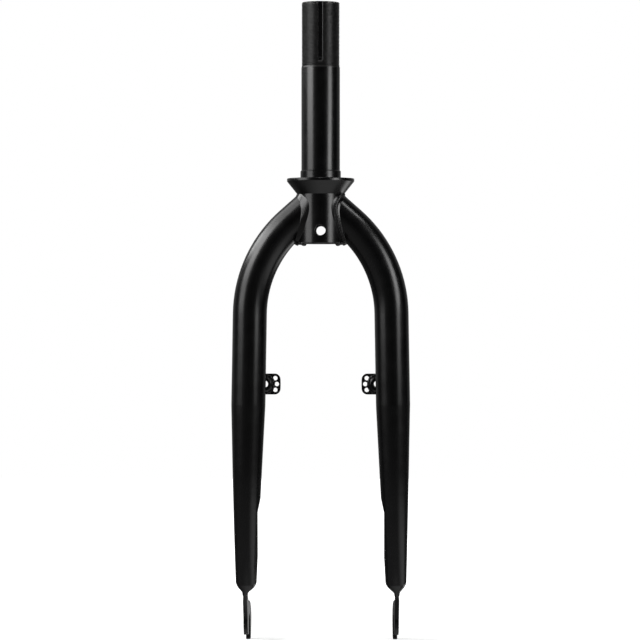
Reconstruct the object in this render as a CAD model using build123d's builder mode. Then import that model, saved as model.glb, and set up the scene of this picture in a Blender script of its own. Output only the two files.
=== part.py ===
# Rigid steel bicycle fork for a small wheel: a threaded steerer, a turned race collar, two bent and
# tapered legs welded to a crown sleeve, slotted dropouts and a pair of rim brake posts.
# Millimetres. The origin is on the steerer's axis, in the face that the crown race rests on.
# +Z runs up the steerer, +Y points to the front of the bicycle and +X to the rider's right.
import os
from math import cos, radians, sin, sqrt, tan

from build123d import *

os.makedirs("parts", exist_ok=True)

# Steerer tube
steerer_od = 28.6
steerer_wall = 1.6
steerer_above_race = 130.5
steerer_top_chamfer = 0.5
thread_od = 28.1
thread_length = 47.4
thread_runout = 1.2
keyway_width = 3.0
keyway_depth = 0.8
keyway_length = 45.0
keyway_cutter_diameter = 24.0

# Race collar
race_seat_od = 30.0
race_seat_height = 5.9
race_seat_chamfer = 0.6
flange_od = 50.0
flange_rim = 2.2
flange_rounding = 0.7
cone_foot_od = 34.8
collar_depth = 11.7

# Crown sleeve
sleeve_od = 34.0
sleeve_bottom_z = -48.4
sleeve_edge_chamfer = 0.6
bolt_hole_diameter = 7.0
nut_hole_diameter = 8.0
cross_hole_z = -38.5
steerer_recess = 2.0

# Leg tubes
leg_od = 25.4
leg_wall = 2.0
leg_tip_od = 15.8
leg_root_z = -13.9
leg_root_angle = 48.5
leg_bend_radius = 91.0
leg_splay = 0.95
taper_start_z = -168.0
rake_radius = 300.0
rake_angle = 18.0
tip_length = 7.3
tip_thickness = 4.4
tip_depth = 13.0
tip_roundness = 0.45
tip_shoulder = 1.6
tip_shoulder_step = 0.4
flat_set_in = 8.0
flat_above_axle = 94.0
flat_ramp = 11.0

# Dropouts and axle
hub_spacing = 110.0
dropout_thickness = 3.2
dropout_set_out = 0.7
axle_slot_width = 10.0
axle_z = -331.0
axle_below_tip = 23.5
axle_ahead_of_tip = 15.7
dropout_radius = 15.0
prong_radius = 3.8
prong_corner = 1.5
rear_prong_length = 9.8
front_prong_length = 14.6
neck_depth = 11.5
tang_length = 6.0
neck_blend = 3.0

# Brake plates and posts
post_spacing = 84.0
post_above_axle = 178.2
post_diameter = 8.0
post_length = 16.0
post_thread_hole = 5.2
post_relief_hole = 6.0
post_relief_depth = 6.6
post_end_chamfer = 0.7
barrel_od = 12.0
barrel_back_y = 3.0
barrel_chamfer = 1.0
spigot_od = 9.0
shoulder_od = 11.0
shoulder_height = 1.2
plate_thickness = 3.0
plate_gap = 0.8
plate_height = 15.6
plate_reach = 11.8
plate_corner = 4.3
plate_end_bulge = 0.5
spring_hole_count = 3
spring_hole_diameter = 3.3
spring_hole_circle = 9.0
spring_hole_step = 29.0

# Weld beads
crown_bead = 2.6
tip_bead = 0.3
tip_bead_length = 2.0
post_bead = 1.6

steerer_r = steerer_od / 2
steerer_bore_r = steerer_r - steerer_wall
sleeve_r = sleeve_od / 2
leg_r = leg_od / 2
leg_tip_r = leg_tip_od / 2
dropout_inner_x = hub_spacing / 2
dropout_mid_x = dropout_inner_x + dropout_thickness / 2
post_x = post_spacing / 2
post_z = axle_z + post_above_axle
plate_back_y = leg_r + plate_gap
plate_front_y = plate_back_y + plate_thickness
sleeve_top_z = -collar_depth
# longer than the fork is deep, for cuts that go right through it
through = 4 * leg_od

# Centreline of the right leg. It runs straight out of the crown, round one bend, down with a slight
# splay, and then forward round the rake. The lower run ends just inboard of the dropout plate.
rake_drop = rake_radius * sin(radians(rake_angle))
leg_down = Vector(sin(radians(leg_splay)), 0, -cos(radians(leg_splay)))
tip_z = axle_z + axle_below_tip
leg_end_z = tip_z + tip_length * cos(radians(rake_angle)) * cos(radians(leg_splay))
rake_start_z = leg_end_z + rake_drop * cos(radians(leg_splay))
leg_end_x = dropout_mid_x - dropout_set_out


def leg_x_at(z):
    return leg_end_x - (z - leg_end_z) * tan(radians(leg_splay))


root_slope = 1 / tan(radians(leg_root_angle))
knee_x = leg_x_at(leg_root_z) / (1 - root_slope * tan(radians(leg_splay)))
knee_z = leg_root_z - knee_x * root_slope
taper_start = Vector(leg_x_at(taper_start_z), 0, taper_start_z)
rake_start = Vector(leg_x_at(rake_start_z), 0, rake_start_z)
rake_plane = Plane(origin=rake_start, x_dir=(0, 1, 0), z_dir=Vector(0, 1, 0).cross(leg_down))
leg_end = rake_plane.from_local_coords(
    Vector(rake_radius * (1 - cos(radians(rake_angle))), rake_drop, 0)
)
tip_direction = Vector(0, 1, 0) * sin(radians(rake_angle)) + leg_down * cos(radians(rake_angle))
across_leg = -rake_plane.z_dir
end_plane = Plane(origin=leg_end, x_dir=across_leg, z_dir=tip_direction)
taper_per_mm = (leg_od - leg_tip_od) / 2 / (
    (rake_start - taper_start).length + radians(rake_angle) * rake_radius
)
rake_start_r = leg_r - taper_per_mm * (rake_start - taper_start).length
flat_inner_x = dropout_inner_x - flat_set_in
flat_start_z = axle_z + flat_above_axle
flat_start_x = leg_x_at(flat_start_z) - leg_r + taper_per_mm * (taper_start_z - flat_start_z)


def bent_run(radius):
    """The leg from the crown to the start of its taper, as a solid bar of one radius."""
    with BuildPart() as bar:
        with BuildLine(Plane.XZ) as route:
            FilletPolyline(
                (0, leg_root_z),
                (knee_x, knee_z),
                (taper_start.X, taper_start.Z),
                radius=leg_bend_radius,
            )
        with BuildSketch(Plane(origin=route.line @ 0, z_dir=route.line % 0)):
            Circle(radius)
        sweep()
    return bar.part


def whole_leg(inset):
    """The leg's outer form moved inward by inset: bent run, taper and rake, with the flat for the hub."""
    with BuildPart() as bar:
        add(bent_run(leg_r - inset))
        with BuildSketch(Plane(origin=taper_start, z_dir=leg_down)):
            Circle(leg_r - inset)
        with BuildSketch(Plane(origin=rake_start, z_dir=leg_down)):
            Circle(rake_start_r - inset)
        loft()
        with BuildLine(rake_plane):
            CenterArc((rake_radius, 0), rake_radius, 180, -rake_angle)
        with BuildSketch(Plane(origin=rake_start, x_dir=across_leg, z_dir=leg_down)):
            Circle(rake_start_r - inset)
        with BuildSketch(end_plane):
            Circle(leg_tip_r - inset)
        sweep(multisection=True)
        with BuildSketch(Plane.XZ):
            with BuildLine():
                Polyline(
                    (0, flat_start_z + flat_ramp),
                    (2 * flat_start_x - flat_inner_x + inset, flat_start_z + flat_ramp),
                    (flat_inner_x + inset, flat_start_z - flat_ramp),
                    (flat_inner_x + inset, axle_z),
                    (0, axle_z),
                    close=True,
                )
            make_face()
        extrude(amount=through, both=True, mode=Mode.SUBTRACT)
    return bar.part


tip_plane = end_plane.offset(tip_length)
tip_shift = dropout_mid_x - tip_plane.origin.X
axle_y = tip_plane.origin.Y + axle_ahead_of_tip


def tip_section(plane, thickness, depth):
    """A rounded bar section in line with the dropout plate, square to the leg's end."""
    with BuildSketch(plane) as section:
        with Locations((tip_shift, 0)):
            RectangleRounded(thickness, depth, thickness * tip_roundness)
    return section.sketch


# Cutter for the holes through the crown: the bolt goes in at the front, its nut in a wider hole behind
with BuildPart() as hole_cutter:
    with BuildSketch(Plane(origin=(0, 0, cross_hole_z), z_dir=(0, 1, 0))):
        Circle(bolt_hole_diameter / 2)
    extrude(amount=sleeve_od)
    with BuildSketch(Plane(origin=(0, 0, cross_hole_z), z_dir=(0, -1, 0))):
        Circle(nut_hole_diameter / 2)
    extrude(amount=sleeve_od)
cross_holes = hole_cutter.part

with BuildPart() as steerer_tube:
    with BuildSketch(Plane.XZ):
        with BuildLine():
            Polyline(
                (steerer_bore_r, sleeve_bottom_z + steerer_recess),
                (steerer_r, sleeve_bottom_z + steerer_recess),
                (steerer_r, steerer_above_race - thread_length - thread_runout),
                (thread_od / 2, steerer_above_race - thread_length),
                (thread_od / 2, steerer_above_race),
                (steerer_bore_r, steerer_above_race),
                close=True,
            )
        make_face()
    revolve(axis=Axis.Z)
    top_edges = steerer_tube.edges().filter_by(GeomType.CIRCLE).group_by(Axis.Z)[-1]
    chamfer(top_edges.sort_by(SortBy.RADIUS)[-1], length=steerer_top_chamfer)
    # the key groove runs out where the round cutter lifts off
    keyway_floor_y = keyway_depth - thread_od / 2
    cutter_r = keyway_cutter_diameter / 2
    runout = sqrt(cutter_r**2 - (cutter_r - keyway_depth) ** 2)
    keyway_stop_z = steerer_above_race - keyway_length + runout
    with BuildSketch(Plane.YZ):
        with Locations((keyway_floor_y - cutter_r, keyway_stop_z)):
            Circle(cutter_r)
        with Locations((keyway_floor_y, keyway_stop_z)):
            Rectangle(steerer_od, keyway_length, align=(Align.MAX, Align.MIN))
    extrude(amount=keyway_width / 2, both=True, mode=Mode.SUBTRACT)
    add(cross_holes, mode=Mode.SUBTRACT)

with BuildPart() as race_collar:
    with BuildSketch(Plane.XZ):
        with BuildLine():
            Polyline(
                (steerer_r, race_seat_height),
                (race_seat_od / 2, race_seat_height),
                (race_seat_od / 2, 0),
                (flange_od / 2, 0),
                (flange_od / 2, -flange_rim),
                (cone_foot_od / 2, -collar_depth),
                (steerer_r, -collar_depth),
                close=True,
            )
        make_face()
    revolve(axis=Axis.Z)
    rim_edges = race_collar.edges().filter_by(GeomType.CIRCLE).group_by(SortBy.RADIUS)[-1]
    fillet(rim_edges, radius=flange_rounding)
    seat_edges = race_collar.edges().filter_by(GeomType.CIRCLE).group_by(Axis.Z)[-1]
    chamfer(seat_edges.sort_by(SortBy.RADIUS)[-1], length=race_seat_chamfer)

with BuildPart() as crown_sleeve:
    with BuildSketch(Plane.XY.offset(sleeve_bottom_z)):
        Circle(sleeve_r)
        Circle(steerer_r, mode=Mode.SUBTRACT)
    extrude(amount=sleeve_top_z - sleeve_bottom_z)
    bottom_edges = crown_sleeve.edges().filter_by(GeomType.CIRCLE).group_by(Axis.Z)[0]
    chamfer(bottom_edges.sort_by(SortBy.RADIUS)[-1], length=sleeve_edge_chamfer)
    add(cross_holes, mode=Mode.SUBTRACT)

with BuildPart() as steerer_weld:
    with BuildSketch(Plane.XZ):
        with BuildLine():
            Polyline(
                (steerer_r, sleeve_bottom_z),
                (steerer_r, sleeve_bottom_z + steerer_recess),
                (steerer_bore_r, sleeve_bottom_z + steerer_recess),
                close=True,
            )
        make_face()
    revolve(axis=Axis.Z)

# Dropout: a round head about the axle slot, two unequal prongs, and a neck whose tang sits in the leg's tip
tang_top = tip_plane.origin - tip_direction * tang_length
neck_length = (Vector(0, axle_y, axle_z) - Vector(0, tang_top.Y, tang_top.Z)).length
slot_front_y = axle_y + axle_slot_width / 2
rear_prong_z = axle_z - rear_prong_length
with BuildPart() as right_dropout:
    with BuildSketch(Plane.YZ.offset(dropout_inner_x)):
        with Locations((axle_y, axle_z)):
            Circle(dropout_radius)
        with Locations((slot_front_y + prong_radius, axle_z - front_prong_length + prong_radius)):
            Circle(prong_radius)
        make_hull()
        with Locations(Location((tang_top.Y, tang_top.Z), rake_angle)):
            Rectangle(neck_depth, neck_length, align=(Align.CENTER, Align.MAX))
    extrude(amount=dropout_thickness)
    neck_corners = right_dropout.edges().filter_by(Axis.X).filter_by(Edge.is_interior)
    fillet(neck_corners, radius=neck_blend)
    with BuildSketch(Plane.YZ.offset(dropout_inner_x)):
        with Locations((axle_y, axle_z)):
            Circle(axle_slot_width / 2)
            Rectangle(axle_slot_width, 2 * dropout_radius, align=(Align.CENTER, Align.MAX))
        with Locations((axle_y, rear_prong_z)):
            Rectangle(2 * dropout_radius, 2 * dropout_radius, align=(Align.MAX, Align.MAX))
    extrude(amount=dropout_thickness, mode=Mode.SUBTRACT)
    slot_corner = right_dropout.edges().filter_by(Axis.X).filter_by_position(
        Axis.Y, slot_front_y - prong_corner / 2, slot_front_y + prong_corner / 2
    ).sort_by(Axis.Z)[0]
    rear_corners = right_dropout.edges().filter_by(Axis.X).filter_by_position(
        Axis.Z, rear_prong_z - prong_corner / 2, rear_prong_z + prong_corner / 2
    )
    fillet([slot_corner, *rear_corners], radius=prong_corner)

# Leg: a hollow tube coped to the sleeve, closed at the tip by a wedge pinched round the dropout's tang
with BuildPart() as right_leg:
    add(whole_leg(0))
    with BuildSketch(end_plane):
        Circle(leg_tip_r)
    with BuildSketch(end_plane.offset(tip_shoulder)):
        Circle(leg_tip_r - tip_shoulder_step)
    add(tip_section(tip_plane, tip_thickness, tip_depth))
    loft()
    add(whole_leg(leg_wall), mode=Mode.SUBTRACT)
    Cylinder(sleeve_r, through, mode=Mode.SUBTRACT)
    add(right_dropout.part, mode=Mode.SUBTRACT)

# Weld between leg and sleeve: what lies within a bead's width of both
with BuildPart() as right_crown_weld:
    add(bent_run(leg_r + crown_bead))
    with BuildSketch(Plane.XY.offset(sleeve_bottom_z)):
        Circle(sleeve_r + crown_bead)
    extrude(amount=sleeve_top_z - sleeve_bottom_z, mode=Mode.INTERSECT)
    add(bent_run(leg_r), mode=Mode.SUBTRACT)
    Cylinder(sleeve_r, through, mode=Mode.SUBTRACT)

# Weld under the leg's tip, a low fillet all round the neck of the dropout
with BuildPart() as right_tip_weld:
    add(tip_section(tip_plane, tip_thickness, tip_depth))
    add(tip_section(
        tip_plane.offset(tip_bead_length),
        dropout_thickness + 2 * tip_bead,
        neck_depth + 2 * tip_bead,
    ))
    loft()
    add(right_dropout.part, mode=Mode.SUBTRACT)

# Brake post, turned: a barrel coped to the leg, a spigot through the plate, a shoulder and the pivot
post_axis = Axis((post_x, 0, post_z), (0, 1, 0))
shoulder_y = plate_front_y + shoulder_height
post_end_y = shoulder_y + post_length
with BuildPart() as right_brake_post:
    with BuildSketch(Plane(origin=(post_x, 0, post_z), x_dir=(1, 0, 0), z_dir=(0, 0, 1))):
        with BuildLine():
            Polyline(
                (post_thread_hole / 2, barrel_back_y + post_relief_depth),
                (post_relief_hole / 2, barrel_back_y + post_relief_depth),
                (post_relief_hole / 2, barrel_back_y),
                (barrel_od / 2 - barrel_chamfer, barrel_back_y),
                (barrel_od / 2, barrel_back_y + barrel_chamfer),
                (barrel_od / 2, plate_back_y),
                (spigot_od / 2, plate_back_y),
                (spigot_od / 2, plate_front_y),
                (shoulder_od / 2, plate_front_y),
                (shoulder_od / 2, shoulder_y),
                (post_diameter / 2, shoulder_y),
                (post_diameter / 2, post_end_y - post_end_chamfer),
                (post_diameter / 2 - post_end_chamfer, post_end_y),
                (post_thread_hole / 2, post_end_y),
                close=True,
            )
        make_face()
    revolve(axis=post_axis)
    add(bent_run(leg_r), mode=Mode.SUBTRACT)

# Brake plate: a tab on the post's spigot with a round outer end and three holes for the spring's tail
with BuildPart() as right_brake_plate:
    with BuildSketch(Plane.XZ.offset(-plate_front_y)):
        with BuildLine():
            half = plate_height / 2
            tab_x = post_x - plate_reach + plate_end_bulge
            top = Line((post_x, post_z + half), (tab_x, post_z + half))
            end = ThreePointArc(top @ 1, (post_x - plate_reach, post_z), (tab_x, post_z - half))
            foot = Line(end @ 1, (post_x, post_z - half))
            ThreePointArc(foot @ 1, (post_x + half, post_z), top @ 0)
        make_face()
        with Locations((post_x, post_z)):
            Circle(spigot_od / 2, mode=Mode.SUBTRACT)
            with PolarLocations(
                spring_hole_circle,
                spring_hole_count,
                180 - spring_hole_step,
                2 * spring_hole_step,
                endpoint=True,
            ):
                Circle(spring_hole_diameter / 2, mode=Mode.SUBTRACT)
    extrude(amount=plate_thickness)
    tab_corners = right_brake_plate.edges().filter_by(Axis.Y).group_by(Axis.X)[0]
    fillet(tab_corners, radius=plate_corner)

# Weld round the barrel where it meets the leg
with BuildPart() as right_post_weld:
    add(bent_run(leg_r + post_bead))
    with BuildSketch(Plane.XZ.offset(-plate_back_y)):
        with Locations((post_x, post_z)):
            Circle(barrel_od / 2 + post_bead)
    extrude(amount=plate_back_y - barrel_back_y - barrel_chamfer, mode=Mode.INTERSECT)
    add(bent_run(leg_r), mode=Mode.SUBTRACT)
    with BuildSketch(Plane.XZ.offset(-plate_back_y)):
        with Locations((post_x, post_z)):
            Circle(barrel_od / 2)
    extrude(amount=plate_back_y, mode=Mode.SUBTRACT)

middle_pieces = {
    "steerer_tube": steerer_tube,
    "race_collar": race_collar,
    "crown_sleeve": crown_sleeve,
    "steerer_weld": steerer_weld,
}
for name, piece in middle_pieces.items():
    piece.part.label = name
    export_step(piece.part, f"parts/{name}.step")

# The left side is the mirror image of the right
side_pieces = {
    "leg": right_leg,
    "dropout": right_dropout,
    "brake_post": right_brake_post,
    "brake_plate": right_brake_plate,
    "crown_weld": right_crown_weld,
    "tip_weld": right_tip_weld,
    "post_weld": right_post_weld,
}
for name, piece in side_pieces.items():
    with BuildPart() as left_piece:
        mirror(piece.part, about=Plane.YZ)
    piece.part.label = f"right_{name}"
    left_piece.part.label = f"left_{name}"
    export_step(piece.part, f"parts/right_{name}.step")
    export_step(left_piece.part, f"parts/left_{name}.step")
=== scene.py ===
from math import cos, pi, radians, sin, sqrt, tan

import bmesh
import bpy
from mathutils import Matrix, Vector


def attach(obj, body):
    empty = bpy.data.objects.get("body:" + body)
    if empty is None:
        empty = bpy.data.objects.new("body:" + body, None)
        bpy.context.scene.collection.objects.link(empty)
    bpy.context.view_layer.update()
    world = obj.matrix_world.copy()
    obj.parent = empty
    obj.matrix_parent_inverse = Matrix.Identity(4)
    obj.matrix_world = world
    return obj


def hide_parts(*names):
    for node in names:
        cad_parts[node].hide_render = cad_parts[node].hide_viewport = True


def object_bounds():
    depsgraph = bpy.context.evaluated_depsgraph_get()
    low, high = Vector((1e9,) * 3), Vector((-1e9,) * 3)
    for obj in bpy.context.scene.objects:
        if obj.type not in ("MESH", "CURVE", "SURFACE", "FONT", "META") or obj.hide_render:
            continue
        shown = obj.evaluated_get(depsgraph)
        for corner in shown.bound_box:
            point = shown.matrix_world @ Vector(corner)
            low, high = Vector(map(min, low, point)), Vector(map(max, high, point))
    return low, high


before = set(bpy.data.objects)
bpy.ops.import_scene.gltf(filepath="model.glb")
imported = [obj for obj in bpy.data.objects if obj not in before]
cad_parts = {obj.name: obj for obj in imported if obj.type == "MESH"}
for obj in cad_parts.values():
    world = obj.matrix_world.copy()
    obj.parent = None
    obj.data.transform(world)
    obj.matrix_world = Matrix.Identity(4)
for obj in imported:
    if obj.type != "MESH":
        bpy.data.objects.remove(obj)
solids_low, solids_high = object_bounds()


# Steerer: a drawn steel tube with a 26 turns to the inch thread cut on its top end and a key groove
# milled down its back. The crown holes go through it too. All of it is stoved in black enamel.
steerer_r = 0.0143
steerer_bore_r = 0.0127
steerer_foot_z = -0.0464
steerer_top_z = 0.1305
thread_start_z = 0.0831
thread_runout = 0.0012
thread_foot_z = thread_start_z - thread_runout
thread_pitch = 0.0254 / 26
thread_crest_r = 0.01405
thread_root_r = 0.01362
thread_lead_in = 2.37 * thread_pitch
thread_steps = 96
top_chamfer = 0.0005
top_chamfer_rise = 0.003
top_trim_r = steerer_r + 0.002
keyway_half_width = 0.0015
keyway_floor_y = -0.01325
keyway_cutter_r = 0.012
keyway_stop_z = 0.0898
broken_edge_width = 2 * keyway_half_width - 0.0004
broken_edge_depth = 0.0019
broken_edge_y = keyway_floor_y - 0.001
broken_edge_low_z = keyway_stop_z - 0.003
broken_edge_flare = 2.75
crown_hole_z = -0.0385
nut_hole_r = 0.0040
bolt_hole_r = 0.0035
drill_reach = 0.02
tool_spare = 0.01
sliver = 4e-6
merge_reach = 1e-6
cut_reach = 1e-7
crease = radians(28)


def apply_modifiers(piece):
    """Applies all of a piece's modifiers and leaves it selected and active."""
    bpy.ops.object.select_all(action="DESELECT")
    piece.select_set(True)
    bpy.context.view_layer.objects.active = piece
    for modifier in list(piece.modifiers):
        bpy.ops.object.modifier_apply(modifier=modifier.name)


def combine(piece, tool, operation):
    """Joins, cuts or trims a piece with a tool, which is used up."""
    bpy.ops.object.mode_set(mode="OBJECT")
    modifier = piece.modifiers.new("combine", "BOOLEAN")
    modifier.operation = operation
    modifier.solver = "MANIFOLD"
    modifier.object = tool
    apply_modifiers(piece)
    bpy.data.objects.remove(tool)


def close_slivers(piece):
    """Merges away the hair-thin faces that cutting and rounding leave, and corners with only two edges."""
    bpy.ops.object.mode_set(mode="EDIT")
    bpy.ops.mesh.select_mode(type="VERT")
    bpy.ops.mesh.select_all(action="SELECT")
    bpy.ops.mesh.remove_doubles(threshold=sliver)
    bpy.ops.mesh.dissolve_degenerate(threshold=sliver)
    bpy.ops.mesh.select_all(action="DESELECT")
    skin = bmesh.from_edit_mesh(piece.data)
    for corner in skin.verts:
        corner.select_set(len(corner.link_edges) == 2)
    bpy.ops.mesh.dissolve_verts()
    bpy.ops.mesh.select_all(action="SELECT")
    bpy.ops.mesh.delete_loose(use_faces=True)
    bpy.ops.object.mode_set(mode="OBJECT")


def pick_faces(piece, wanted):
    """Opens a piece in edit mode with only the wanted faces selected."""
    bpy.ops.object.mode_set(mode="EDIT")
    bpy.ops.mesh.select_mode(type="FACE")
    bpy.ops.mesh.select_all(action="DESELECT")
    bpy.ops.object.mode_set(mode="OBJECT")
    for face in piece.data.polygons:
        face.select = wanted(face)
    bpy.ops.object.mode_set(mode="EDIT")


def turned_bar(name, radius, low, high):
    """A round bar along Z, left in edit mode with its top face selected."""
    bpy.ops.object.select_all(action="DESELECT")
    bpy.ops.mesh.primitive_cylinder_add(
        vertices=128, radius=radius, depth=high - low, location=(0, 0, (low + high) / 2))
    bar = bpy.context.object
    bar.name = name
    bpy.ops.object.transform_apply()
    pick_faces(bar, lambda face: face.normal.z > 0.9)
    return bar


def pull_face(rise, widen):
    """Extrudes the selected face up and brings it to another width."""
    bpy.ops.mesh.extrude_region_move(TRANSFORM_OT_translate={"value": (0, 0, rise)})
    bpy.ops.transform.resize(value=(widen, widen, 1))


def cross_drill(name, radius, reach):
    """A drill along Y that reaches from the steerer's axis out through one wall of the crown."""
    bpy.ops.object.select_all(action="DESELECT")
    bpy.ops.mesh.primitive_cylinder_add(
        vertices=64, radius=radius, depth=abs(reach), location=(0, reach / 2, crown_hole_z),
        rotation=(pi / 2, 0, 0))
    drill = bpy.context.object
    drill.name = name
    bpy.ops.object.transform_apply()
    return drill


# one pitch of the thread's outline, drawn point by point and then wound up the tube
thread_low = thread_foot_z - thread_lead_in
outline = [
    (thread_root_r, 0.0), (thread_root_r, 0.08), (thread_crest_r, 0.40), (thread_crest_r, 0.60),
    (thread_root_r, 0.92), (thread_root_r, 1.0)]
bpy.ops.object.select_all(action="DESELECT")
bpy.ops.mesh.primitive_plane_add(size=thread_pitch, location=(0, 0, 0))
steerer = bpy.context.object
steerer.name = "threaded_steerer"
bpy.ops.object.mode_set(mode="EDIT")
bpy.ops.mesh.select_all(action="SELECT")
bpy.ops.mesh.merge(type="CENTER")
bpy.ops.transform.translate(value=(outline[0][0], 0, thread_low))
for (r_from, t_from), (r_to, t_to) in zip(outline, outline[1:]):
    step = (r_to - r_from, 0, (t_to - t_from) * thread_pitch)
    bpy.ops.mesh.extrude_vertices_move(TRANSFORM_OT_translate={"value": step})
bpy.ops.object.mode_set(mode="OBJECT")
winding = steerer.modifiers.new("winding", "SCREW")
winding.axis = "Z"
winding.angle = 2 * pi
winding.screw_offset = thread_pitch
winding.iterations = int((steerer_top_z - thread_low) / thread_pitch) + 2
winding.steps = thread_steps
winding.render_steps = thread_steps
winding.use_merge_vertices = True
winding.merge_threshold = merge_reach
apply_modifiers(steerer)
bpy.ops.object.mode_set(mode="EDIT")
bpy.ops.mesh.select_all(action="SELECT")
bpy.ops.mesh.remove_doubles(threshold=2 * merge_reach)
for height, keep_above in ((thread_foot_z, True), (steerer_top_z, False)):
    bpy.ops.mesh.select_all(action="SELECT")
    bpy.ops.mesh.bisect(
        plane_co=(0, 0, height), plane_no=(0, 0, 1), use_fill=True, threshold=cut_reach,
        clear_inner=keep_above, clear_outer=not keep_above)
bpy.ops.mesh.select_all(action="SELECT")
bpy.ops.mesh.normals_make_consistent(inside=False)
bpy.ops.object.mode_set(mode="OBJECT")

# the plain tube below the thread, then the chamfer at the top and the bore
plain_tube = turned_bar("plain_tube", steerer_r, steerer_foot_z, thread_foot_z)
pull_face(thread_runout, thread_crest_r / steerer_r)
pull_face(thread_pitch / 2, thread_root_r / thread_crest_r)
combine(steerer, plain_tube, "UNION")
top_trim = turned_bar("top_trim", top_trim_r, steerer_foot_z - tool_spare, steerer_top_z - top_chamfer_rise)
pull_face(top_chamfer_rise, (thread_crest_r - top_chamfer) / top_trim_r)
combine(steerer, top_trim, "INTERSECT")
bore = turned_bar("bore", steerer_bore_r, steerer_foot_z - tool_spare, steerer_top_z + tool_spare)
combine(steerer, bore, "DIFFERENCE")

# the key groove, left round at its foot by the disc cutter
bpy.ops.object.select_all(action="DESELECT")
bpy.ops.mesh.primitive_cylinder_add(
    vertices=160, radius=keyway_cutter_r, depth=2 * keyway_half_width,
    location=(0, keyway_floor_y - keyway_cutter_r, keyway_stop_z), rotation=(0, pi / 2, 0))
cutter = bpy.context.object
cutter.name = "keyway_cutter"
bpy.ops.object.transform_apply()
bpy.ops.object.mode_set(mode="EDIT")
bpy.ops.mesh.select_all(action="SELECT")
bpy.ops.mesh.bisect(
    plane_co=(0, 0, keyway_stop_z), plane_no=(0, 0, 1), use_fill=True, threshold=cut_reach,
    clear_outer=True)
bpy.ops.mesh.extrude_region_move(
    TRANSFORM_OT_translate={"value": (0, 0, steerer_top_z - keyway_stop_z + tool_spare)})
bpy.ops.mesh.select_all(action="SELECT")
bpy.ops.mesh.normals_make_consistent(inside=False)
combine(steerer, cutter, "DIFFERENCE")

# the groove's long edges, broken with a file
broken_edge_high_z = steerer_top_z + tool_spare
bpy.ops.object.select_all(action="DESELECT")
bpy.ops.mesh.primitive_cube_add(
    size=1.0, location=(0, broken_edge_y, (broken_edge_low_z + broken_edge_high_z) / 2),
    scale=(broken_edge_width, broken_edge_depth, broken_edge_high_z - broken_edge_low_z))
edge_cutter = bpy.context.object
edge_cutter.name = "edge_cutter"
bpy.ops.object.transform_apply()
pick_faces(edge_cutter, lambda face: face.normal.y < -0.9)
bpy.ops.transform.resize(value=(broken_edge_flare, 1, 1))
combine(steerer, edge_cutter, "DIFFERENCE")
combine(steerer, cross_drill("nut_drill", nut_hole_r, -drill_reach), "DIFFERENCE")
combine(steerer, cross_drill("bolt_drill", bolt_hole_r, drill_reach), "DIFFERENCE")
close_slivers(steerer)
bpy.ops.object.shade_smooth_by_angle(angle=crease)


def cloud(tree, scale, detail):
    """An uneven pattern that is fixed to the piece, from 0 to 1."""
    place = tree.nodes.new("ShaderNodeTexCoord")
    noise = tree.nodes.new("ShaderNodeTexNoise")
    noise.inputs["Scale"].default_value = scale
    noise.inputs["Detail"].default_value = detail
    tree.links.new(place.outputs["Object"], noise.inputs["Vector"])
    return noise.outputs["Fac"]


def ramp(tree, value, start, end, low, high, curve="LINEAR"):
    """Goes from low to high while a value goes from start to end."""
    node = tree.nodes.new("ShaderNodeMapRange")
    node.interpolation_type = curve
    node.inputs["From Min"].default_value = start
    node.inputs["From Max"].default_value = end
    node.inputs["To Min"].default_value = low
    node.inputs["To Max"].default_value = high
    tree.links.new(value, node.inputs["Value"])
    return node.outputs["Result"]


def reckon(tree, operation, first, second):
    """Adds or multiplies two values, or takes the larger one."""
    node = tree.nodes.new("ShaderNodeMath")
    node.operation = operation
    tree.links.new(first, node.inputs[0])
    tree.links.new(second, node.inputs[1])
    return node.outputs[0]


def enamel(name, dark, light, gloss, dull, peel_depth, peel_scale):
    """Stoved black enamel: slightly uneven in colour and gloss, with a fine orange peel."""
    material = bpy.data.materials.new(name)
    material.use_nodes = True
    tree = material.node_tree
    shader = tree.nodes["Principled BSDF"]
    shade = tree.nodes.new("ShaderNodeValToRGB")
    shade.color_ramp.elements[0].position = 0.3
    shade.color_ramp.elements[0].color = (*dark, 1.0)
    shade.color_ramp.elements[1].position = 0.72
    shade.color_ramp.elements[1].color = (*light, 1.0)
    tree.links.new(cloud(tree, 55.0, 4.0), shade.inputs["Fac"])
    tree.links.new(shade.outputs["Color"], shader.inputs["Base Color"])
    tree.links.new(ramp(tree, cloud(tree, 130.0, 5.0), 0.3, 0.7, gloss, dull), shader.inputs["Roughness"])
    peel = tree.nodes.new("ShaderNodeBump")
    peel.inputs["Strength"].default_value = 0.5
    peel.inputs["Distance"].default_value = peel_depth
    tree.links.new(cloud(tree, peel_scale, 2.0), peel.inputs["Height"])
    tree.links.new(peel.outputs["Normal"], shader.inputs["Normal"])
    return material


tube_enamel = enamel(
    "tube_enamel", dark=(0.0006, 0.0006, 0.0007), light=(0.0013, 0.0013, 0.0014),
    gloss=0.22, dull=0.27, peel_depth=0.000015, peel_scale=420.0)
# The threaded part's enamel is duller and lighter: its lighter base is partly a greyer, duller finish and
# partly painted sheen,  standing in for the light that the fine thread scatters.
thread_enamel_and_sheen = enamel(
    "thread_enamel_and_sheen", dark=(0.0030, 0.0030, 0.0030), light=(0.0060, 0.0059, 0.0058),
    gloss=0.30, dull=0.40, peel_depth=0.00004, peel_scale=900.0)

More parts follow.
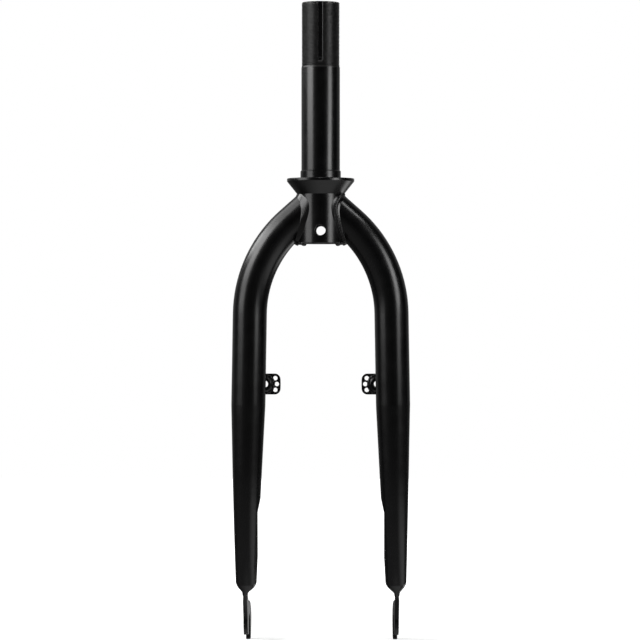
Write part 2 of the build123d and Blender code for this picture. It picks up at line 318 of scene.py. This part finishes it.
# enamel chipped off the thread, most of all near the top
bare_steel = (0.20, 0.19, 0.18, 1.0)
few_chips_z = steerer_top_z - 0.0040
most_chips_z = steerer_top_z - 0.0002
tree = thread_enamel_and_sheen.node_tree
place = tree.nodes.new("ShaderNodeTexCoord")
axes = tree.nodes.new("ShaderNodeSeparateXYZ")
tree.links.new(place.outputs["Object"], axes.inputs["Vector"])
near_top = ramp(tree, axes.outputs["Z"], few_chips_z, most_chips_z, -0.20, 0.06)
chips = ramp(tree, reckon(tree, "ADD", cloud(tree, 850.0, 3.0), near_top), 0.56, 0.64, 0.0, 1.0)
chipped = tree.nodes.new("ShaderNodeMix")
chipped.data_type = "RGBA"
chipped.inputs["B"].default_value = bare_steel
shader = tree.nodes["Principled BSDF"]
tree.links.new(chips, chipped.inputs["Factor"])
tree.links.new(shader.inputs["Base Color"].links[0].from_socket, chipped.inputs["A"])
tree.links.new(chipped.outputs["Result"], shader.inputs["Base Color"])

groove_half_width = 0.0026
groove_back_y = -0.012
groove_floor_y = -0.0134
steerer.data.materials.clear()
steerer.data.materials.append(tube_enamel)
steerer.data.materials.append(thread_enamel_and_sheen)
for face in steerer.data.polygons:
    on_side = abs(face.normal.x) > 0.3
    on_floor = face.center.y > groove_floor_y and abs(face.normal.z) < 0.05
    near_groove = abs(face.center.x) < groove_half_width and face.center.y < groove_back_y
    in_groove = near_groove and (on_side or on_floor)
    threaded = face.center.z > thread_foot_z and not in_groove
    face.material_index = 1 if threaded else 0
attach(steerer, "root")
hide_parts("steerer_tube")


# Race collar: turned from bar, with the seat for the headset's lower race, a flange and a cone under it.
# It is pressed on the steerer. Its edges are rounded by the enamel.
collar_round = 0.0005


def copy_of_solid(node, name):
    """A new piece with a copy of a solid's mesh, merged and left in edit mode."""
    bpy.ops.object.select_all(action="DESELECT")
    piece = bpy.data.objects.new(name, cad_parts[node].data.copy())
    bpy.context.scene.collection.objects.link(piece)
    piece.select_set(True)
    bpy.context.view_layer.objects.active = piece
    bpy.ops.object.mode_set(mode="EDIT")
    bpy.ops.mesh.select_mode(type="EDGE")
    bpy.ops.mesh.select_all(action="SELECT")
    bpy.ops.mesh.remove_doubles(threshold=merge_reach)
    return piece


def rounded_copy(node, name, width, wanted=lambda edge: True):
    """A copy of a solid with its wanted outer edges rounded, in the solid's place."""
    piece = copy_of_solid(node, name)
    bpy.ops.mesh.dissolve_limited(angle_limit=radians(0.1))
    bpy.ops.mesh.select_all(action="DESELECT")
    skin = bmesh.from_edit_mesh(piece.data)
    for edge in skin.edges:
        sharp = edge.is_manifold and edge.is_convex and edge.calc_face_angle() > radians(30)
        edge.select_set(sharp and wanted(edge))
    bpy.ops.mesh.bevel(offset=width, segments=4, affect="EDGES", clamp_overlap=True)
    bpy.ops.object.mode_set(mode="OBJECT")
    close_slivers(piece)
    bpy.ops.object.shade_smooth_by_angle(angle=crease)
    piece.modifiers.new("even_shading", "WEIGHTED_NORMAL").keep_sharp = True
    apply_modifiers(piece)
    piece.data.materials.clear()
    piece.data.materials.append(tube_enamel)
    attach(piece, "root")
    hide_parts(node)
    return piece


rounded_copy("race_collar", "turned_collar", collar_round)


# Crown sleeve and legs: a thick short steel tube, and two steel tubes that were bent, tapered and pinched.
# They are welded up, and stoved in the same enamel as the steerer.
for name in ("crown_sleeve", "left_leg", "right_leg"):
    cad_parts[name].material_slots[0].material = tube_enamel


# Dropouts: stamped steel plates that the hub's axle slides up into. Each was bent in a few degrees at its
# neck when it was welded into the leg's tip, so that its inner face shows from behind.
dropout_round = 0.0005
dropout_mid_x = 0.0566
dropout_toe = radians(3.3)
neck_high_z = -0.3115
neck_low_z = -0.3150
neck_y = 0.0175
for side, hand in ((-1, "left"), (1, "right")):
    dropout = rounded_copy(f"{hand}_dropout", f"{hand}_stamped_dropout", dropout_round)
    bpy.ops.object.mode_set(mode="EDIT")
    for height in (neck_high_z, neck_low_z):
        bpy.ops.mesh.select_all(action="SELECT")
        bpy.ops.mesh.bisect(plane_co=(0, 0, height), plane_no=(0, 0, 1), threshold=cut_reach)
    bpy.ops.mesh.select_mode(type="VERT")
    bpy.ops.mesh.select_all(action="DESELECT")
    bpy.ops.object.mode_set(mode="OBJECT")
    for corner in dropout.data.vertices:
        corner.select = corner.co.z < neck_low_z + merge_reach
    bpy.ops.object.mode_set(mode="EDIT")
    bpy.ops.transform.rotate(
        value=-side * dropout_toe, orient_axis="Z",
        center_override=(side * dropout_mid_x, neck_y, neck_low_z))
    bpy.ops.object.mode_set(mode="OBJECT")


# Brake plates and brake posts: plates stamped from steel sheet with three holes for a spring's tail, and
# posts turned from bar with a thread for the brake's bolt. The posts' round edges alone are softened.
plate_round = 0.0003
post_round = 0.00045


def goes_round_post(edge):
    """True for an edge that lies square to the post's axis."""
    return abs(edge.verts[0].co.y - edge.verts[1].co.y) < merge_reach


for hand in ("left", "right"):
    rounded_copy(f"{hand}_brake_plate", f"{hand}_stamped_plate", plate_round)
    rounded_copy(f"{hand}_brake_post", f"{hand}_turned_post", post_round, goes_round_post)


# Crown welds: steel filled into the corner round each leg where it meets the sleeve, low at the top and
# fuller underneath. The left one was dressed nearly smooth, and the right one still has the wire's ripples
# across its face. On both, the last of the metal hangs in drops from the sleeve's lower edge.
sleeve_r = 0.0170
sleeve_foot_z = -0.0484
leg_r = 0.0127
leg_root_z = -0.0139
leg_root_angle = radians(48.5)
weld_reach = 0.030
weld_low_z = -0.052
weld_high_z = -0.008
weld_root = 0.0007
weld_top_leg = 0.0015
weld_foot_leg = 0.0032
weld_layers = 11
weld_grain = 0.00022
ripples = 29
ripple_first = 6
ripple_pitch = 5.7
ripple_length = 0.0008
ripple_height = 0.0008
ripple_uneven = 0.0001
ripple_width_share = 0.85
ripple_sleeve_share = 0.6
ripple_leg_share = 0.4
rim_dab = (0.0017, 0.0015, 0.0012)
rim_dab_turns = (4, 12, 20, 28, 36)
rim_dab_rise = 0.0004
rim_drop = (0.0022, 0.0018, 0.0015)
rim_drop_turn = 42
sleeve_core_low_z = -0.070
sleeve_core_high_z = 0.020
weld_enamel = enamel(
    "weld_enamel", dark=(0.0007, 0.0007, 0.0008), light=(0.0016, 0.0016, 0.0017),
    gloss=0.15, dull=0.23, peel_depth=0.00005, peel_scale=700.0)


def leg_bar(side, radius, sag):
    """A bar along the leg's straight root, let down by a sag so that it is fuller underneath."""
    bpy.ops.object.select_all(action="DESELECT")
    x = side * (sin(leg_root_angle) * weld_reach - cos(leg_root_angle) * sag)
    z = leg_root_z - cos(leg_root_angle) * weld_reach - sin(leg_root_angle) * sag
    bpy.ops.mesh.primitive_cylinder_add(
        vertices=160, radius=radius, depth=2 * weld_reach, location=(x, 0, z),
        rotation=(0, side * (pi - leg_root_angle), 0))
    return bpy.context.object


def sleeve_bar(foot_radius, top_radius):
    """A bar round the sleeve, wider at its foot."""
    bpy.ops.object.select_all(action="DESELECT")
    bpy.ops.mesh.primitive_cone_add(
        vertices=160, radius1=foot_radius, radius2=top_radius, depth=weld_high_z - weld_low_z,
        location=(0, 0, (weld_low_z + weld_high_z) / 2))
    return bpy.context.object


def seam(side, turn):
    """Where leg and sleeve meet at a turn in degrees round the leg from its top, and the ways out of both."""
    across = cos(radians(turn))
    y = leg_r * sin(radians(turn))
    x = sqrt(sleeve_r ** 2 - y ** 2)
    along = (x - leg_r * across * cos(leg_root_angle)) / sin(leg_root_angle)
    z = leg_root_z - along * cos(leg_root_angle) + leg_r * across * sin(leg_root_angle)
    out_of_sleeve = Vector((side * x, y, 0)) / sleeve_r
    out_of_leg = Vector((
        side * across * cos(leg_root_angle), sin(radians(turn)), across * sin(leg_root_angle)))
    return Vector((side * x, y, z)), out_of_leg, out_of_sleeve


def sleeve_rim(side, turn, drop):
    """A place on the sleeve's lower edge, at a turn in degrees from the leg."""
    x = side * sleeve_r * cos(radians(turn))
    return Vector((x, sleeve_r * sin(radians(turn)), sleeve_foot_z - drop))


def dab(place, size, ahead=Vector((1, 0, 0)), out=Vector((0, 0, 1))):
    """One dab of weld metal, its length laid along the bead."""
    across = ahead.cross(out).normalized()
    turn = Matrix((ahead, across, ahead.cross(across))).transposed().to_euler()
    bpy.ops.mesh.primitive_ico_sphere_add(
        subdivisions=3, radius=1.0, location=place, rotation=turn, scale=size)
    return bpy.context.object


def ripple(side, turn, length):
    """A dab right across the weld's face, a little more on the sleeve than on the leg."""
    corner, out_of_leg, out_of_sleeve = seam(side, turn)
    ahead = (seam(side, turn + 1)[0] - corner).normalized()
    lean = out_of_leg.dot(out_of_sleeve)
    onto_sleeve = (out_of_leg - lean * out_of_sleeve).normalized()
    onto_leg = (out_of_sleeve - lean * out_of_leg).normalized()
    weld_leg = weld_top_leg + (weld_foot_leg - weld_top_leg) * (1 - cos(radians(turn))) / 2
    place = corner + weld_leg * (ripple_sleeve_share * onto_sleeve + ripple_leg_share * onto_leg)
    out = (out_of_leg + out_of_sleeve).normalized()
    return dab(place, (length, ripple_width_share * weld_leg, ripple_height), ahead, out)


def melt_together(name, metal, grain, runs):
    """Makes one bead of all the metal, with a skin of the given grain that has run smooth."""
    bpy.ops.object.select_all(action="DESELECT")
    for piece in metal:
        piece.select_set(True)
    bead = metal[0]
    bead.name = name
    bpy.context.view_layer.objects.active = bead
    bpy.ops.object.join()
    bpy.ops.object.transform_apply()
    skin = bead.modifiers.new("skin", "REMESH")
    skin.mode = "VOXEL"
    skin.voxel_size = grain
    melt = bead.modifiers.new("melt", "SMOOTH")
    melt.factor = 0.5
    melt.iterations = runs
    apply_modifiers(bead)
    return bead


def finish_weld(bead, node):
    """Smooths and paints a bead, and puts it in the solid weld's place."""
    bpy.ops.object.shade_smooth_by_angle(angle=radians(40))
    bead.data.materials.clear()
    bead.data.materials.append(weld_enamel)
    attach(bead, "root")
    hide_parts(node)


for side, hand in ((-1, "left"), (1, "right")):
    metal = []
    for layer in range(weld_layers):
        share = (layer + 0.5) / weld_layers
        rest = 1 - share
        mean_leg = (weld_top_leg + weld_foot_leg) / 2
        sag = share * (weld_foot_leg - weld_top_leg) / 2
        filling = leg_bar(side, leg_r + share * mean_leg, sag)
        round_sleeve = sleeve_bar(sleeve_r + rest * weld_foot_leg, sleeve_r + rest * weld_top_leg)
        combine(filling, round_sleeve, "INTERSECT")
        metal.append(filling)
    for face in (-1, 1):
        for step in range(ripples if hand == "right" else 0):
            length = ripple_length + ripple_uneven * sin(2.1 * step + face)
            metal.append(ripple(side, face * (ripple_first + ripple_pitch * step), length))
        for turn in rim_dab_turns:
            metal.append(dab(sleeve_rim(side, face * turn, -rim_dab_rise), rim_dab))
        metal.append(dab(sleeve_rim(side, face * rim_drop_turn, 0.0), rim_drop))
    bead = melt_together(f"{hand}_crown_bead", metal, weld_grain, runs=16 if hand == "left" else 4)
    combine(bead, leg_bar(side, leg_r - weld_root, 0.0), "DIFFERENCE")
    sleeve_core = turned_bar("sleeve_core", sleeve_r - weld_root, sleeve_core_low_z, sleeve_core_high_z)
    combine(bead, sleeve_core, "DIFFERENCE")
    close_slivers(bead)
    finish_weld(bead, f"{hand}_crown_weld")


# Post welds: a fillet of weld where each brake post's barrel meets the leg, and a lumpy ring of it round the
# barrel's free side, which holds the plate.
post_x = 0.0420
post_z = -0.1528
barrel_r = 0.0060
plate_back_y = 0.0135
ring_r = 0.0066
ring_dabs = 31
ring_first = 75
ring_pitch = 7
ring_y = plate_back_y - 0.0004
ring_dab = 0.0012
ring_uneven = 0.0001
ring_root = 0.0003
barrel_core_length = 0.04
barrel_core_y = 0.01
post_weld_grain = 0.00018
for side, hand in ((-1, "left"), (1, "right")):
    metal = [copy_of_solid(f"{hand}_post_weld", f"{hand}_post_bead")]
    bpy.ops.object.mode_set(mode="OBJECT")
    for step in range(ring_dabs):
        turn = radians(ring_first + ring_pitch * step)
        size = ring_dab + ring_uneven * sin(2.0 * step + side)
        place = Vector((side * (post_x + ring_r * cos(turn)), ring_y, post_z + ring_r * sin(turn)))
        metal.append(dab(place, (size, size, size)))
    bead = melt_together(f"{hand}_post_bead", metal, post_weld_grain, runs=3)
    bpy.ops.object.select_all(action="DESELECT")
    bpy.ops.mesh.primitive_cylinder_add(
        vertices=96, radius=barrel_r - ring_root, depth=barrel_core_length,
        location=(side * post_x, barrel_core_y, post_z), rotation=(pi / 2, 0, 0))
    combine(bead, bpy.context.object, "DIFFERENCE")
    bpy.ops.object.mode_set(mode="EDIT")
    bpy.ops.mesh.select_all(action="SELECT")
    bpy.ops.mesh.bisect(
        plane_co=(0, plate_back_y + ring_root, 0), plane_no=(0, 1, 0), use_fill=True, threshold=cut_reach,
        clear_outer=True)
    bpy.ops.object.mode_set(mode="OBJECT")
    finish_weld(bead, f"{hand}_post_weld")


# Tip welds and steerer weld: low fillets of weld where the dropouts sit in the leg tips, and a ring of it
# where the steerer ends in the sleeve.
for name in ("left_tip_weld", "right_tip_weld", "steerer_weld"):
    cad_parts[name].material_slots[0].material = weld_enamel


# Studio: a floor of white paper, a dark tent seen only in the enamel's mirror image, its glow a painted
# reflection, and two tall soft boxes beside the fork, each a stack of panes of different strength, with one
# more pane high up behind it.
floor_size = 5.0
tent_r = 4.0
room_light = 0.45


def background_rays(tree):
    """1 for rays that see the background itself or its mirror image, and 0 for rays that light things."""
    rays = tree.nodes.new("ShaderNodeLightPath")
    seen = reckon(tree, "MAXIMUM", rays.outputs["Is Camera Ray"], rays.outputs["Is Glossy Ray"])
    return reckon(tree, "MAXIMUM", seen, rays.outputs["Is Transmission Ray"])


bpy.ops.object.select_all(action="DESELECT")
bpy.ops.mesh.primitive_plane_add(size=floor_size, location=(0, 0, solids_low[2]))
floor = bpy.context.object
floor.name = "white_floor"
bpy.ops.object.transform_apply()
white = bpy.data.materials.new("white_paper")
white.use_nodes = True
tree = white.node_tree
paper = tree.nodes["Principled BSDF"]
paper.inputs["Base Color"].default_value = (0.82, 0.82, 0.82, 1.0)
paper.inputs["Roughness"].default_value = 0.9
paper.inputs["Specular IOR Level"].default_value = 0.0
paper.inputs["Emission Color"].default_value = (1.0, 1.0, 1.0, 1.0)
place = tree.nodes.new("ShaderNodeTexCoord")
far = tree.nodes.new("ShaderNodeVectorMath")
far.operation = "LENGTH"
tree.links.new(place.outputs["Object"], far.inputs[0])
clear_of_shadow = ramp(tree, far.outputs["Value"], 0.40, 0.75, 0.30, 1.0, "SMOOTHSTEP")
lift = reckon(tree, "MULTIPLY", background_rays(tree), clear_of_shadow)
tree.links.new(lift, paper.inputs["Emission Strength"])
white.cycles.emission_sampling = "NONE"
floor.data.materials.append(white)
floor.visible_glossy = False

bpy.ops.object.select_all(action="DESELECT")
bpy.ops.mesh.primitive_uv_sphere_add(segments=48, ring_count=24, radius=tent_r, location=(0, 0, 0))
tent = bpy.context.object
tent.name = "dark_reflection_tent"
painted_reflection = bpy.data.materials.new("painted_reflection_glow")
painted_reflection.use_nodes = True
tree = painted_reflection.node_tree
tree.nodes.remove(tree.nodes["Principled BSDF"])
glow = tree.nodes.new("ShaderNodeEmission")
place = tree.nodes.new("ShaderNodeTexCoord")
axes = tree.nodes.new("ShaderNodeSeparateXYZ")
tree.links.new(place.outputs["Object"], axes.inputs["Vector"])


def along(axis, start, end, low, high):
    """A soft change along one axis of the tent in its glow, which is a painted reflection."""
    return ramp(tree, axes.outputs[axis], start, end, low, high, "SMOOTHSTEP")


def where_all(*glows):
    """A glow that shows only where all the given ones do."""
    shared = glows[0]
    for other in glows[1:]:
        shared = reckon(tree, "MULTIPLY", shared, other)
    return shared


def all_of(*glows):
    """The given glows, one on top of the other."""
    total = glows[0]
    for other in glows[1:]:
        total = reckon(tree, "ADD", total, other)
    return total


front_and_left = all_of(along("Y", 0.8, 3.2, 0.0, 0.24), along("X", 0.5, -4.0, 0.0, 0.06))
walls = where_all(front_and_left, along("Z", -0.7, -0.05, 0.2, 1.0))
low_behind = where_all(along("Z", 0.4, -2.2, 0.004, 0.17), along("Y", 1.8, 0.0, 0.15, 1.0))
right_behind = where_all(
    along("Z", -0.9, -1.5, 0.0, 1.0), along("X", 1.4, 3.2, 0.0, 0.7), along("Y", 1.2, 0.2, 0.0, 1.0))
right_in_front = where_all(
    along("Z", -1.3, -2.0, 0.0, 1.0), along("X", 0.8, 2.6, 0.0, 1.8), along("Y", 0.6, 2.4, 0.0, 1.0))
low_right = where_all(all_of(right_behind, right_in_front), along("Z", -2.7, -2.2, 0.0, 1.0))
below = where_all(along("Z", -2.8, -3.2, 0.0, 0.45), along("X", -3.2, 0.2, 0.0, 1.0))
# a painted reflection of a bright sheet far behind the fork, which is not there otherwise
painted_sheet_reflection = where_all(along("Y", 3.62, 3.85, 0.0, 0.5), along("X", -0.1, 0.7, 0.1, 1.0))
tree.links.new(all_of(walls, low_behind, low_right, below, painted_sheet_reflection), glow.inputs["Strength"])
tree.links.new(glow.outputs["Emission"], tree.nodes["Material Output"].inputs["Surface"])
painted_reflection.cycles.emission_sampling = "NONE"
tent.data.materials.append(painted_reflection)
# No camera sees the tent, it lights nothing and casts no shadow: its glow and its dark are painted reflection
# in the enamel.
tent.visible_camera = False
tent.visible_diffuse = False
tent.visible_transmission = False
tent.visible_volume_scatter = False
tent.visible_shadow = False


def soft_pane(name, bearing, low, high, spread, radiance):
    """A pane of a soft box, a metre from the steerer, at a bearing from straight behind the fork."""
    lamp = bpy.data.lights.new(name, "AREA")
    lamp.shape = "RECTANGLE"
    lamp.size = 2 * tan(radians(spread) / 2)
    lamp.size_y = high - low
    lamp.energy = radiance * pi * lamp.size * lamp.size_y
    pane = bpy.data.objects.new(name, lamp)
    bpy.context.scene.collection.objects.link(pane)
    height = (low + high) / 2
    pane.location = (sin(radians(bearing)), -cos(radians(bearing)), height)
    aim = Vector((0.0, 0.0, height)) - pane.location
    pane.rotation_euler = aim.to_track_quat("-Z", "Y").to_euler()
    pane.visible_camera = False


soft_pane("left_pane_1", -62.0, -0.13, -0.07, 34.0, 0.5)
soft_pane("left_pane_2", -62.0, -0.07, 0.02, 34.0, 3.8)
soft_pane("left_pane_3", -64.0, 0.02, 0.20, 35.0, 2.3)
soft_pane("left_pane_4", -66.0, 0.20, 0.42, 37.0, 4.8)
soft_pane("left_pane_5", -86.0, 0.42, 0.78, 72.0, 7.0)
soft_pane("left_pane_6", -90.0, 0.78, 1.30, 84.0, 2.6)
soft_pane("right_pane_1", 46.0, -0.13, -0.07, 20.0, 1.6)
soft_pane("right_pane_2", 49.0, -0.07, 0.02, 21.0, 6.0)
soft_pane("right_pane_3", 56.0, 0.02, 0.20, 22.0, 5.8)
soft_pane("right_pane_4", 59.5, 0.20, 0.36, 22.0, 5.8)
soft_pane("right_pane_5", 60.0, 0.36, 0.56, 22.0, 3.0)
soft_pane("right_pane_6", 64.0, 0.95, 1.40, 20.0, 6.5)
soft_pane("top_pane", 0.0, 0.90, 1.70, 30.0, 5.0)

world = bpy.data.worlds.new("white_room")
bpy.context.scene.world = world
world.use_nodes = True
tree = world.node_tree
room = tree.nodes["Background"]
room.inputs["Color"].default_value = (1.0, 1.0, 1.0, 1.0)
tree.links.new(ramp(tree, background_rays(tree), 0.0, 1.0, room_light, 1.0), room.inputs["Strength"])
bpy.context.scene.view_settings.view_transform = "Standard"


# Camera: a long lens, level with the middle of the fork and a little to the rider's right of straight
# behind it, so that the fork fills the height of the frame.
camera_distance = 2.4
camera_bearing = radians(1.1)
camera_height = -0.1050
camera_aim_x = -0.0005
camera = bpy.data.cameras.new("camera")
camera.lens = 181.9
camera.sensor_width = 36.0
eye = bpy.data.objects.new("camera", camera)
bpy.context.scene.collection.objects.link(eye)
eye.location = (
    camera_distance * sin(camera_bearing), -camera_distance * cos(camera_bearing), camera_height)
aim = Vector((camera_aim_x, 0.0, camera_height)) - eye.location
eye.rotation_euler = aim.to_track_quat("-Z", "Y").to_euler()
bpy.context.scene.camera = eye
